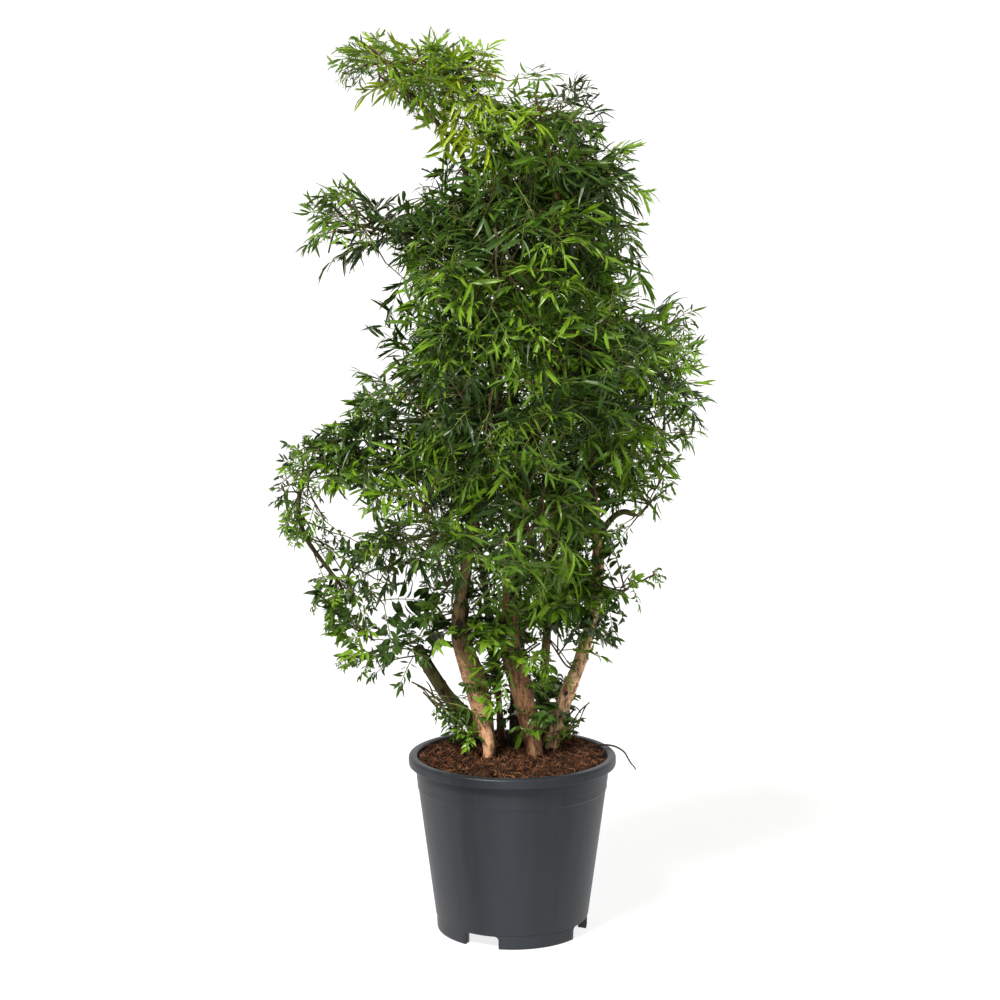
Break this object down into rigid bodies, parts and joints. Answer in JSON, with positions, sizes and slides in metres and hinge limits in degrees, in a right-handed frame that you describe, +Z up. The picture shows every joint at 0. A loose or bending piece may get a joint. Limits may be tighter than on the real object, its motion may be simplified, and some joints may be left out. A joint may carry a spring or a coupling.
{
  "type": "potted ming aralia",
  "caption": "Ming aralia shrub with slender bare stems and a tall, uneven crown of finely divided leaves, standing in a plain round nursery pot.",
  "frame": {"origin": "middle of the object's bounding box, at the level of the pot's feet", "axes": "+Z up along the pot's axis and the height of the plant, +X to the right and +Y to the back as seen in the picture"},
  "size_m": [0.704, 0.5032, 1.4609],
  "materials": {
    "pot_plastic": "satin",
    "potting_mix": "matte",
    "light_bark": "matte",
    "brown_bark": "matte",
    "twig_bark": "matte",
    "foliage": "satin",
    "young_foliage": "satin"
  },
  "bodies": {
    "root": {"pot": "pot_plastic", "root_ball": "potting_mix", "stem_left": "brown_bark", "stem_front_left": "light_bark", "stem_thin": "brown_bark", "stem_centre": "brown_bark", "stem_right": "light_bark", "stem_back_right": "brown_bark", "stem_tuft": "brown_bark", "stem_back": "brown_bark", "bough_arch_rise": "twig_bark", "bough_arch_fall": "twig_bark", "bough_tuft_side": "twig_bark", "bough_left_spray": "twig_bark", "bough_upper_front": "twig_bark", "bough_right_high": "twig_bark", "bough_right_low": "twig_bark", "bough_mid_left": "twig_bark", "bough_mid_right": "twig_bark", "bough_mid_back_right": "twig_bark", "bough_back_right_low": "twig_bark", "bough_low_left": "twig_bark", "bough_low_front": "twig_bark", "bough_right_hang": "twig_bark", "foliage_tuft_crest": "young_foliage", "foliage_tuft_side": "young_foliage", "foliage_dome_front": "foliage", "foliage_dome_back": "foliage", "foliage_upper_crest": "foliage", "foliage_left_spray": "foliage", "foliage_upper_front": "foliage", "foliage_upper_right": "foliage", "foliage_upper_back": "foliage", "foliage_upper_west": "foliage", "foliage_right_high": "foliage", "foliage_right_low": "foliage", "foliage_mid_left": "foliage", "foliage_mid_front": "foliage", "foliage_mid_right": "foliage", "foliage_mid_back": "foliage", "foliage_mid_back_right": "foliage", "foliage_back_right_low": "foliage", "foliage_arch_high": "foliage", "foliage_arch_low": "foliage", "foliage_arch_foot": "foliage", "foliage_left_low": "foliage", "foliage_low_left": "foliage", "foliage_low_front": "foliage", "foliage_low_right": "foliage", "foliage_low_back": "foliage", "foliage_right_hang": "foliage", "foliage_low_west": "foliage", "foliage_low_heart": "foliage", "foliage_low_east": "foliage", "foliage_sprig_right": "foliage", "foliage_sprig_base_left": "foliage", "foliage_sprig_base_right": "foliage"}
  },
  "joints": []
}
